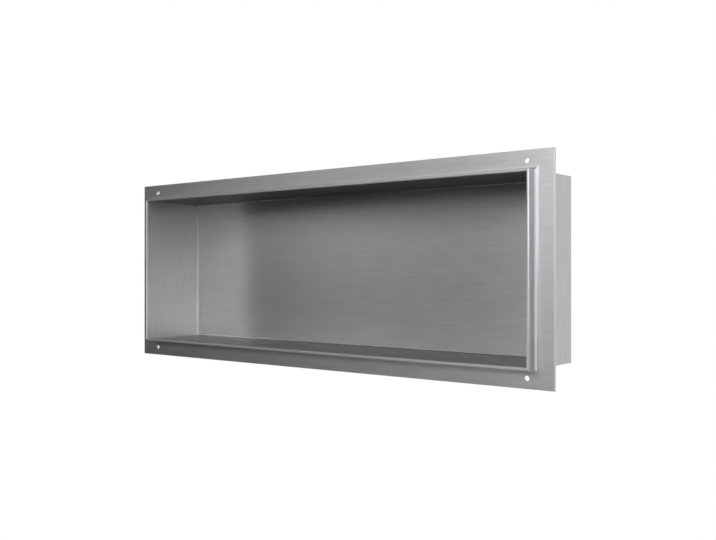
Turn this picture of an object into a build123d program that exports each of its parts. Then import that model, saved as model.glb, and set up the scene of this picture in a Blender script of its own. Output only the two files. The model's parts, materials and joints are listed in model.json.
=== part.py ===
# Shower niche insert: an open-fronted box of stainless sheet, welded along its edges and ground smooth.
# The front of its walls stands proud as a rim for the tile edge. A flange welded round the outside of
# the walls, set back from that rim, screws to the wall.
# Frame: +X to the right as seen from the room, +Y into the wall, +Z up. The origin is the middle of
# the screw hole pattern, on the back face of the flange, which lies on the wall.
from build123d import *
import os

os.makedirs("parts", exist_ok=True)

# Driving dimensions, in millimetres
opening_width = 600.0    # clear width between the side walls
opening_height = 200.0   # clear height between the floor and the ceiling
niche_depth = 100.0      # from the front of the rim to the back panel
sheet = 3.0              # thickness of the stainless sheet
rim_stand = 15.0         # the rim in front of the flange, for a tile and its adhesive
flange_width = 21.0      # from the outside of the walls to the edge of the flange
rim_ease = 0.8           # radius ground on both edges of the rim
hole_diameter = 6.0      # screw holes in the flange
hole_end_inset = 31.0    # from the short edges of the flange to the hole centres
hole_edge_inset = 11.0   # from the long edges of the flange to the hole centres

# Faces along Y, from the room to the wall
flange_back = 0.0
flange_front = flange_back - sheet
rim_front = flange_front - rim_stand
panel_front = rim_front + niche_depth
panel_back = panel_front + sheet

# Half sizes of the mouth, and heights of the section above the middle of the niche
half_width = opening_width / 2
half_height = opening_height / 2
wall_top = half_height + sheet
flange_top = wall_top + flange_width

flange_reach = sheet + flange_width
hole_spacing_x = opening_width + 2 * (flange_reach - hole_end_inset)
hole_spacing_z = opening_height + 2 * (flange_reach - hole_edge_inset)

# The whole insert is one welded piece
with BuildPart() as niche_insert:
    # Inside edge of the mouth, starting at the middle of its top side
    with BuildLine() as mouth:
        Polyline(
            (0, rim_front, half_height),
            (half_width, rim_front, half_height),
            (half_width, rim_front, -half_height),
            (-half_width, rim_front, -half_height),
            (-half_width, rim_front, half_height),
            close=True,
        )

    # Section of the wall, its rim and the flange, starting at the back panel
    with BuildSketch(Plane.YZ) as section:
        with BuildLine():
            wall = Line((panel_back, half_height), (rim_front + rim_ease, half_height))
            inner_ease = JernArc(wall @ 1, wall % 1, rim_ease, -90)
            rim = Line(inner_ease @ 1, (rim_front, wall_top - rim_ease))
            outer_ease = JernArc(rim @ 1, rim % 1, rim_ease, -90)
            Polyline(
                outer_ease @ 1,
                (flange_front, wall_top),
                (flange_front, flange_top),
                (flange_back, flange_top),
                (flange_back, wall_top),
                (panel_back, wall_top),
                wall @ 0,
            )
        make_face()

    # Carried round the mouth, the section meets itself in mitred, welded corners
    sweep(path=mouth.line, transition=Transition.RIGHT)

    # Back panel, welded in between the walls
    with BuildSketch(Plane.XZ.offset(-panel_front)):
        Rectangle(opening_width, opening_height)
    extrude(amount=-sheet)

    # Screw holes through the flange, near its corners
    with Locations(Plane.XZ):
        with GridLocations(hole_spacing_x, hole_spacing_z, 2, 2):
            Hole(hole_diameter / 2)

niche_insert.part.label = "niche_insert"
export_step(niche_insert.part, "parts/niche_insert.step")
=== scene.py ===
import json
from math import atan2, cos, degrees, radians, sin

import bmesh
import bpy
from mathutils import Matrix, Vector


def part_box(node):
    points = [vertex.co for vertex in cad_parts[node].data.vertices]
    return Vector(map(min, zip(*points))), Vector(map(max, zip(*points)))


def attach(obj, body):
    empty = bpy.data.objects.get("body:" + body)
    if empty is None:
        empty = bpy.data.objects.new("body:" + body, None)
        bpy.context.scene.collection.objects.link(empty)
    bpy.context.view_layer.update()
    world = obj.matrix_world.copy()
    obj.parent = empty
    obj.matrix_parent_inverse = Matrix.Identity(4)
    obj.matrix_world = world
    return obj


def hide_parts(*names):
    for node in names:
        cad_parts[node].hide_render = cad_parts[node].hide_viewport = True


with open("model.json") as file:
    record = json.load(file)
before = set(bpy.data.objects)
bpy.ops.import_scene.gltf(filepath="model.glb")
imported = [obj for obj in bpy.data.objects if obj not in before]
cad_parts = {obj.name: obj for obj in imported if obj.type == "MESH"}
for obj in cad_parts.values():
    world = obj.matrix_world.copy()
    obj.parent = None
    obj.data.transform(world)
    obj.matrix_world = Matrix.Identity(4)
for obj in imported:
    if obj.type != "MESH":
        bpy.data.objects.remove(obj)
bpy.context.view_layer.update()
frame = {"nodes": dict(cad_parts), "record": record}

print("frame loaded:", ", ".join(sorted(frame["nodes"])))


# the insert: a box of stainless sheet, welded and ground, with a flange round the outside
insert = {
    "name": "nicheSheet",
    "node": "niche_insert",
    "slot": "brushed_stainless",
    "body": "root",
    "clearWide": 0.600,         # between the side walls
    "clearHigh": 0.200,         # between floor and ceiling
    "steel": 0.003,             # thickness of the sheet
    "rimStand": 0.015,          # rim in front of the flange
    "rimEase": 0.0011,          # ground edges of the rim
    "footWeld": 0.0040,         # fillet between rim and flange
    "panelWeld": 0.0016,        # fillet inside, round the back panel
    "filedEdge": 0.0006,        # ease along the cut edges
    "holeEase": 0.00025,        # deburred lip of a screw hole
    "weldSteps": 8,             # faces round a weld
    "easeSteps": 4,             # faces round a ground edge or the lip of a hole
    "fileSteps": 2,             # faces round a filed edge
    "roundness": 0.5,           # bevel profile, a plain arc
    "holeSides": 64,
    "cutterLength": 0.02,       # of the drill that cuts a screw hole
    "smoothAngle": 28.0,        # degrees, mitred corners stay sharp
    "flatWeight": 100,          # how far a flat outweighs the bend beside it
    "nearby": 0.00002,          # how close counts as being on a line or a face
}

low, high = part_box(insert["node"])
holes = next(m for m in frame["record"]["mounts"] if m["name"] == "flange_holes")["dims"]
mm = 0.001
quarterTurn = radians(90)
origin = (0, 0, 0)

halfWide = insert["clearWide"] / 2
halfHigh = insert["clearHigh"] / 2
steel = insert["steel"]
flangeReach = high.x - halfWide
rimFront = low.y
flangeFront = rimFront + insert["rimStand"]
flangeBack = flangeFront + steel
panelRear = high.y
panelFront = panelRear - steel

# fold lines from the back panel out to the flange and home along the hidden side:
# distance out from the wall's face, depth, radius of the edge, faces round it
foldLines = [
    (0.0, panelFront, insert["panelWeld"], insert["weldSteps"]),                # weld round the panel
    (0.0, rimFront, insert["rimEase"], insert["easeSteps"]),                    # rim, inside edge
    (steel, rimFront, insert["rimEase"], insert["easeSteps"]),                  # rim, outside edge
    (steel, flangeFront, insert["footWeld"], insert["weldSteps"]),              # foot of the rim
    (flangeReach, flangeFront, insert["filedEdge"], insert["fileSteps"]),       # flange edge, room side
    (flangeReach, flangeBack, insert["filedEdge"], insert["fileSteps"]),        # flange edge, wall side
    (steel, flangeBack, insert["filedEdge"], insert["fileSteps"]),              # foot from behind
    (steel, panelRear, insert["filedEdge"], insert["fileSteps"]),               # back edges of the box
]


def clearSelection():
    bpy.ops.object.select_all(action="DESELECT")


def pickFold(piece, reach, depth):
    # select the four edges that lie on one fold line
    near = insert["nearby"]

    def onLine(v):
        outward = max(abs(v.co.x) - halfWide, abs(v.co.z) - halfHigh)
        return abs(outward - reach) < near and abs(v.co.y - depth) < near

    shape = bmesh.from_edit_mesh(piece.data)
    for edge in shape.edges:
        edge.select_set(onLine(edge.verts[0]) and onLine(edge.verts[1]))
    bmesh.update_edit_mesh(piece.data)


def foldSheet():
    clearSelection()
    bpy.ops.mesh.primitive_plane_add(size=1.0, location=(0, panelFront, 0), rotation=(quarterTurn, 0, 0))
    piece = bpy.context.object
    piece.name = insert["name"]
    bpy.ops.object.transform_apply(location=True, rotation=True, scale=True)
    bpy.ops.object.mode_set(mode="EDIT")
    bpy.ops.mesh.select_mode(type="EDGE")
    bpy.ops.mesh.select_all(action="SELECT")
    bpy.ops.transform.resize(value=(insert["clearWide"], 1, insert["clearHigh"]), center_override=origin)
    # pull the open edge from one fold line to the next
    for (reach, depth, _, _), (nextReach, nextDepth, _, _) in zip(foldLines, foldLines[1:]):
        pickFold(piece, reach, depth)
        bpy.ops.mesh.extrude_edges_move()
        bpy.ops.transform.translate(value=(0, nextDepth - depth, 0))
        wider = (halfWide + nextReach) / (halfWide + reach)
        higher = (halfHigh + nextReach) / (halfHigh + reach)
        bpy.ops.transform.resize(value=(wider, 1, higher), center_override=origin)
    bpy.ops.mesh.edge_face_add()                        # back of the panel
    # round the folds
    for reach, depth, radius, steps in foldLines:
        pickFold(piece, reach, depth)
        bpy.ops.mesh.bevel(offset=radius, segments=steps, profile=insert["roundness"],
                           affect="EDGES", clamp_overlap=False)
    bpy.ops.mesh.select_all(action="SELECT")
    bpy.ops.mesh.remove_doubles(threshold=insert["nearby"])
    bpy.ops.mesh.normals_make_consistent(inside=False)
    bpy.ops.object.mode_set(mode="OBJECT")
    return piece


def drillHoles(piece):
    radius = holes["hole_r_mm"] * mm
    places = [
        (sx * holes["spacing_x_mm"] * mm / 2, flangeFront, sz * holes["spacing_y_mm"] * mm / 2)
        for sx in (-1, 1) for sz in (-1, 1)
    ]
    drills = []
    for place in places:
        clearSelection()
        bpy.ops.mesh.primitive_cylinder_add(vertices=insert["holeSides"], radius=radius,
                                            depth=insert["cutterLength"], location=place,
                                            rotation=(quarterTurn, 0, 0))
        drills.append(bpy.context.object)
    for drill in drills:
        drill.select_set(True)
    bpy.ops.object.join()
    drill = bpy.context.object
    clearSelection()
    piece.select_set(True)
    bpy.context.view_layer.objects.active = piece
    cut = piece.modifiers.new("screwHoles", "BOOLEAN")
    cut.operation = "DIFFERENCE"
    cut.solver = "EXACT"
    cut.object = drill
    bpy.ops.object.modifier_apply(modifier=cut.name)
    bpy.data.objects.remove(drill)
    # ease both lips of each hole
    bpy.ops.object.mode_set(mode="EDIT")
    shape = bmesh.from_edit_mesh(piece.data)
    near = insert["nearby"]

    def onLip(v):
        onFace = min(abs(v.co.y - flangeFront), abs(v.co.y - flangeBack)) < near
        fromHoles = [Vector((v.co.x - x, v.co.z - z)).length for x, _, z in places]
        return onFace and any(abs(distance - radius) < near for distance in fromHoles)

    for edge in shape.edges:
        onRing = onLip(edge.verts[0]) and onLip(edge.verts[1])
        edge.select_set(onRing and abs(edge.verts[0].co.y - edge.verts[1].co.y) < near)
    bmesh.update_edit_mesh(piece.data)
    bpy.ops.mesh.bevel(offset=insert["holeEase"], segments=insert["easeSteps"],
                       profile=insert["roundness"], affect="EDGES")
    bpy.ops.object.mode_set(mode="OBJECT")


def smoothBends(piece):
    clearSelection()
    piece.select_set(True)
    bpy.context.view_layer.objects.active = piece
    bpy.ops.object.shade_smooth_by_angle(angle=radians(insert["smoothAngle"]))
    even = piece.modifiers.new("flatFaces", "WEIGHTED_NORMAL")      # flats stay flat beside the bends
    even.mode = "FACE_AREA"
    even.weight = insert["flatWeight"]
    even.keep_sharp = True
    bpy.ops.object.modifier_apply(modifier=even.name)


sheetPiece = foldSheet()
print("sheet folded:", len(sheetPiece.data.polygons), "faces")
drillHoles(sheetPiece)
smoothBends(sheetPiece)
print("holes drilled:", len(sheetPiece.data.polygons), "faces")


class Wire:
    # one socket of a node tree, so that shader maths reads as sums
    def __init__(self, tree, socket=None):
        self.tree = tree
        self.socket = socket

    def add(self, kind, settings=None, sockets=None, out=0):
        node = self.tree.nodes.new(kind)
        for key, value in (settings or {}).items():
            setattr(node, key, value)
        for key, value in (sockets or {}).items():
            if isinstance(value, Wire):
                self.tree.links.new(value.socket, node.inputs[key])
            else:
                node.inputs[key].default_value = value
        if isinstance(out, tuple):
            return [Wire(self.tree, node.outputs[name]) for name in out]
        return Wire(self.tree, node.outputs[out]) if node.outputs else None

    def sums(self, operation, first, second):
        return self.add("ShaderNodeMath", {"operation": operation}, {0: first, 1: second})

    def blend(self, factor, first, second):
        # a Mix node keeps its colours in sockets 6 and 7, and their mix in output 2
        return self.add("ShaderNodeMix", {"data_type": "RGBA"},
                        {"Factor": factor, 6: first, 7: second}, out=2)

    def __add__(self, other):
        return self.sums("ADD", self, other)

    def __radd__(self, other):
        return self.sums("ADD", other, self)

    def __sub__(self, other):
        return self.sums("SUBTRACT", self, other)

    def __rsub__(self, other):
        return self.sums("SUBTRACT", other, self)

    def __mul__(self, other):
        return self.sums("MULTIPLY", self, other)

    def __rmul__(self, other):
        return self.sums("MULTIPLY", other, self)


def newMaterial(name):
    material = bpy.data.materials.new(name)
    material.use_nodes = True
    material.node_tree.nodes.clear()
    return material


# brushed stainless: the grain runs level, and upright on the side walls and their rims
steelFinish = {
    "pale": (0.66, 0.66, 0.678),            # crest of a brush line
    "dark": (0.48, 0.48, 0.493),            # bottom of one
    "opaque": 1.0,
    "edgeTint": (0.32, 0.32, 0.32, 1.0),    # reflection at a low angle
    "metallic": 1.0,
    "hairAcross": 2600.0,       # hairlines to a metre
    "hairAlong": 30.0,
    "hairDetail": 2.0,
    "streakAcross": 320.0,      # broader brush lines
    "streakAlong": 26.0,
    "streakDetail": 3.0,
    "streakShare": 0.65,        # of a brush line's tone, the rest is hairline
    "noiseScale": 1.0,          # the lines are stretched before the noise
    "noiseRoughness": 0.5,
    "noiseMean": 0.5,
    "middleTone": 0.5,          # half way from dark to pale
    "contrast": 1.2,
    "roughSpread": 0.16,        # from one hairline to the next
    "hairDepth": 0.000002,      # metres
    "hairStrength": 1.0,
    "farAway": 100.0,           # metres, keeps the shader's own direction parallel
    # grain axis, roughness, blur across the grain, its turn from the shader's own direction, tone, which is
    # painted shade on the rim outside and the level weld and a painted highlight on the upright ground
    # edges
    "kinds": {
        "steelLevel": ("x", 0.36, 0.75, 0.25, (1.0, 1.0, 1.0)),             # back panel
        "steelShelf": ("x", 0.28, 0.60, 0.25, (1.0, 1.0, 1.0)),             # floor and ceiling
        "steelUpright": ("z", 0.36, 0.55, 0.0, (1.0, 1.0, 0.97)),           # side walls
        "steelFlange": ("x", 0.42, 0.55, 0.25, (1.0, 1.0, 1.0)),            # flange, both faces
        "groundLevel": ("x", 0.55, 0.45, 0.25, (1.0, 1.0, 1.0)),            # rim, foot weld, flange edges
        "groundUprightPaintedHighlight": ("z", 0.58, 0.25, 0.0, (1.06, 1.06, 1.06)),        # the same and panel weld, sides; the paler tone is a painted highlight
        "rimLevelPaintedShade": ("x", 0.36, 0.55, 0.25, (0.84, 0.84, 0.84)),            # outside of the rim; the darker tone is painted shade
        "rimUprightPaintedShade": ("z", 0.36, 0.55, 0.0, (0.84, 0.84, 0.82)),           # the same, at the sides; the darker tone is painted shade
        "weldLevelPaintedShade": ("x", 0.36, 0.75, 0.25, (0.74, 0.74, 0.74)),           # panel weld, floor and ceiling; the darker tone is painted shade that hides its highlight in the corner
        "millLevel": ("x", 0.80, 0.20, 0.25, (0.96, 0.96, 0.96)),           # outside of the box
        "millUpright": ("z", 0.80, 0.20, 0.0, (0.96, 0.96, 0.96)),          # the same, at the sides
    },
}


# scales a colour by a kind's tone, which carries painted shade and painted highlight for some kinds
def toned(colour, toneWithPaintedLight):
    return [level * share for level, share in zip(colour, toneWithPaintedLight)] + [steelFinish["opaque"]]


def brushedSteel(name):
    grainAxis, roughness, anisotropy, blurTurn, toneWithPaintedLight = steelFinish["kinds"][name]
    material = newMaterial(name)
    wire = Wire(material.node_tree)
    place = wire.add("ShaderNodeTexCoord", out="Object")

    def grain(across, along, detail):
        stretch = [along if axis == grainAxis else across for axis in "xyz"]
        drawn = wire.add("ShaderNodeVectorMath", {"operation": "MULTIPLY"}, {0: place, 1: stretch})
        noise = wire.add("ShaderNodeTexNoise", {"noise_dimensions": "3D"},
                         {"Vector": drawn, "Scale": steelFinish["noiseScale"], "Detail": detail,
                          "Roughness": steelFinish["noiseRoughness"]})
        return noise - steelFinish["noiseMean"]         # either side of nothing

    hair = grain(steelFinish["hairAcross"], steelFinish["hairAlong"], steelFinish["hairDetail"])
    streak = grain(steelFinish["streakAcross"], steelFinish["streakAlong"], steelFinish["streakDetail"])
    share = steelFinish["streakShare"]
    line = streak * share + hair * (1 - share)
    # the kind's tone enters the base colour here, painted shade and painted highlight included
    tone = wire.blend(steelFinish["middleTone"] + line * steelFinish["contrast"],
                      toned(steelFinish["dark"], toneWithPaintedLight), toned(steelFinish["pale"], toneWithPaintedLight))
    rough = roughness + (streak * (1 - share) + hair * share) * steelFinish["roughSpread"]
    bump = wire.add("ShaderNodeBump", None,
                    {"Strength": steelFinish["hairStrength"], "Distance": steelFinish["hairDepth"],
                     "Height": hair})
    surface = wire.add("ShaderNodeBsdfPrincipled", None,
                       {"Base Color": tone, "Metallic": steelFinish["metallic"], "Roughness": rough,
                        "Normal": bump, "Specular Tint": steelFinish["edgeTint"],
                        "Anisotropic": anisotropy, "Anisotropic Rotation": blurTurn})
    wire.add("ShaderNodeOutputMaterial", None, {"Surface": surface})
    return material


def brushFaces(piece):
    mesh = piece.data
    kinds = list(steelFinish["kinds"])
    for name in kinds:
        mesh.materials.append(brushedSteel(name))
    near = insert["nearby"]
    for face in mesh.polygons:
        middle = face.center
        pastSide = abs(middle.x) - halfWide
        pastTop = abs(middle.z) - halfHigh
        outward = max(pastSide, pastTop)
        beforePanel = middle.y < panelFront - near
        onSide = beforePanel and pastSide > pastTop         # the mitre parts side from top
        onFlange = abs(middle.y - flangeFront) < near or abs(middle.y - flangeBack) < near
        onRim = middle.y < rimFront + insert["rimEase"]
        atFoot = outward > near and middle.y > flangeFront - insert["footWeld"]
        behind = outward > near and middle.y > flangeBack - near
        onWeld = beforePanel and middle.y > panelFront - insert["panelWeld"]
        if onFlange:
            kind = "steelFlange"
        elif behind:
            kind = "millUpright" if onSide else "millLevel"
        # rim edges and foot; at the sides a paler copy, a painted highlight
        elif onRim or atFoot:
            kind = "groundUprightPaintedHighlight" if onSide else "groundLevel"
        # outside of the rim: a darker copy of the steel, painted shade
        elif outward > near:
            kind = "rimUprightPaintedShade" if onSide else "rimLevelPaintedShade"
        # panel weld: painted highlight on the upright seams, painted shade on the level seams
        elif onWeld:
            kind = "groundUprightPaintedHighlight" if onSide else "weldLevelPaintedShade"
        elif onSide:
            kind = "steelUpright"
        elif beforePanel:
            kind = "steelShelf"
        else:
            kind = "steelLevel"
        face.material_index = kinds.index(kind)
    mesh.use_auto_texspace = False
    mesh.texspace_location = (0, -steelFinish["farAway"], 0)
    mesh.texspace_size = (1, 1, 1)


brushFaces(sheetPiece)
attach(sheetPiece, insert["body"])
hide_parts(insert["node"])
print("steel brushed")


# camera at the photograph's viewing angle
photoView = {
    "frameWide": 716,
    "frameHigh": 540,
    "place": (0.7087, -0.8415, -0.0019),
    "turn": 40.208,             # degrees to the left of facing the niche
    "focalPixels": 877.5,
    "axisColumn": 310.443,      # where in the frame the lens axis meets it
    "axisRow": 271.26,
    "sensor": 36.0,
}

lens = bpy.data.cameras.new("photoCamera")
lens.sensor_width = photoView["sensor"]
lens.lens = photoView["focalPixels"] * photoView["sensor"] / photoView["frameWide"]
lens.shift_x = (photoView["frameWide"] / 2 - photoView["axisColumn"]) / photoView["frameWide"]
lens.shift_y = (photoView["axisRow"] - photoView["frameHigh"] / 2) / photoView["frameWide"]
camera = bpy.data.objects.new("photoCamera", lens)
camera.location = photoView["place"]
camera.rotation_euler = (quarterTurn, 0, radians(photoView["turn"]))
bpy.context.scene.collection.objects.link(camera)
bpy.context.scene.camera = camera
print("camera set")


# studio: a pale floor, soft lamps in an arc, a dark drape behind them and white all round
studio = {
    "floorHeight": -1.25,
    "floorRadius": 1.2,
    "floorSides": 96,
    "floorColour": (0.8, 0.8, 0.8, 1.0),
    "floorRough": 0.6,
    "roughSpread": 0.2,
    "mottleScale": 3.0,         # of the floor, to a metre
    "mottleDetail": 4.0,
    "floorGlow": 0.8,           # share of white in the floor, where it is seen
    "drapeRadius": 7.0,
    "drapeColumns": 72,
    "drapeRows": 36,
    "drapeEdge": 112.0,         # degrees either side of straight in front
    "drapeDark": (0.05, 0.05, 0.05, 1.0),
    "drapePale": (0.07, 0.07, 0.07, 1.0),
    "drapeShine": 0.0,          # plain cloth
    "napScale": 2.0,            # of the drape, to a metre
    "napDetail": 3.0,
    "ambient": (0.5, 0.5, 0.5, 1.0),        # the room as light
    "white": (1.0, 1.0, 1.0, 1.0),          # the room as it is seen
    "skyStrength": 1.0,
    "lampDistance": 5.0,
}

# degrees right of straight in front, degrees up, metres wide, metres tall, watts
lamps = {
    "keyRight": (65.6, 32.4, 3.94, 2.00, 200.0),
    "middleFront": (-0.1, 19.0, 3.15, 2.31, 128.0),
    "stripRight": (37.0, 14.6, 1.65, 6.35, 68.0),
    "lowRight": (91.0, -22.7, 3.52, 6.08, 46.0),
    "highLeft": (-41.9, 17.3, 1.17, 1.87, 7.5),
    "fillLeft": (-32.9, 25.8, 1.89, 4.56, 13.5),
}


def inSight(wire):
    # one for what the camera sees, be it in a mirror or through glass, nothing for other light
    direct, glossy, through = wire.add("ShaderNodeLightPath",
                                       out=("Is Camera Ray", "Is Glossy Ray", "Is Transmission Ray"))
    return direct + glossy + through


def paleFloor():
    material = newMaterial("paleFloor")
    wire = Wire(material.node_tree)
    place = wire.add("ShaderNodeTexCoord", out="Object")
    mottle = wire.add("ShaderNodeTexNoise", None,
                      {"Vector": place, "Scale": studio["mottleScale"], "Detail": studio["mottleDetail"]})
    rough = studio["floorRough"] + studio["roughSpread"] * mottle
    lit = wire.add("ShaderNodeBsdfPrincipled", None,
                   {"Base Color": studio["floorColour"], "Roughness": rough})
    glow = wire.add("ShaderNodeEmission", None, {"Color": studio["white"]})
    seen = inSight(wire) * studio["floorGlow"]
    surface = wire.add("ShaderNodeMixShader", None, {0: seen, 1: lit, 2: glow})
    wire.add("ShaderNodeOutputMaterial", None, {"Surface": surface})
    return material


def darkDrape():
    material = newMaterial("darkDrape")
    wire = Wire(material.node_tree)
    place = wire.add("ShaderNodeTexCoord", out="Object")
    nap = wire.add("ShaderNodeTexNoise", None,
                   {"Vector": place, "Scale": studio["napScale"], "Detail": studio["napDetail"]})
    colour = wire.blend(nap, studio["drapeDark"], studio["drapePale"])
    surface = wire.add("ShaderNodeBsdfPrincipled", None,
                       {"Base Color": colour, "Specular IOR Level": studio["drapeShine"]})
    wire.add("ShaderNodeOutputMaterial", None, {"Surface": surface})
    return material


def fromFront(azimuth, elevation, distance):
    turn, rise = radians(azimuth), radians(elevation)
    return distance * Vector((sin(turn) * cos(rise), -cos(turn) * cos(rise), sin(rise)))


def buildStage():
    clearSelection()
    bpy.ops.mesh.primitive_circle_add(vertices=studio["floorSides"], radius=studio["floorRadius"],
                                      location=(0, 0, studio["floorHeight"]), fill_type="NGON")
    floor = bpy.context.object
    floor.name = "studioFloor"
    floor.data.materials.append(paleFloor())
    # the drape hangs behind the lamps, out of the camera's sight
    clearSelection()
    bpy.ops.mesh.primitive_uv_sphere_add(segments=studio["drapeColumns"], ring_count=studio["drapeRows"],
                                         radius=studio["drapeRadius"])
    drape = bpy.context.object
    drape.name = "studioDrape"
    bpy.ops.object.mode_set(mode="EDIT")
    bpy.ops.mesh.select_mode(type="FACE")
    shape = bmesh.from_edit_mesh(drape.data)
    for face in shape.faces:
        middle = face.calc_center_median()
        face.select_set(abs(degrees(atan2(middle.x, -middle.y))) > studio["drapeEdge"])
    bmesh.update_edit_mesh(drape.data)
    bpy.ops.mesh.delete(type="FACE")
    bpy.ops.object.mode_set(mode="OBJECT")
    drape.visible_camera = False
    drape.data.materials.append(darkDrape())


def whiteRoom():
    room = bpy.data.worlds.new("whiteRoom")
    room.use_nodes = True
    room.node_tree.nodes.clear()
    wire = Wire(room.node_tree)
    colour = wire.blend(inSight(wire), studio["ambient"], studio["white"])
    sky = wire.add("ShaderNodeBackground", None, {"Color": colour, "Strength": studio["skyStrength"]})
    wire.add("ShaderNodeOutputWorld", None, {"Surface": sky})
    bpy.context.scene.world = room


def hangLamps():
    for name, (azimuth, elevation, wide, tall, watts) in lamps.items():
        light = bpy.data.lights.new(name, "AREA")
        light.shape = "RECTANGLE"
        light.size = wide
        light.size_y = tall
        light.energy = watts
        lamp = bpy.data.objects.new(name, light)
        lamp.location = fromFront(azimuth, elevation, studio["lampDistance"])
        lamp.rotation_euler = (-lamp.location).to_track_quat("-Z", "Y").to_euler()
        lamp.visible_camera = False
        bpy.context.scene.collection.objects.link(lamp)


buildStage()
whiteRoom()
hangLamps()
bpy.context.scene.view_settings.view_transform = "Standard"
print("studio lit:", len(lamps), "lamps")
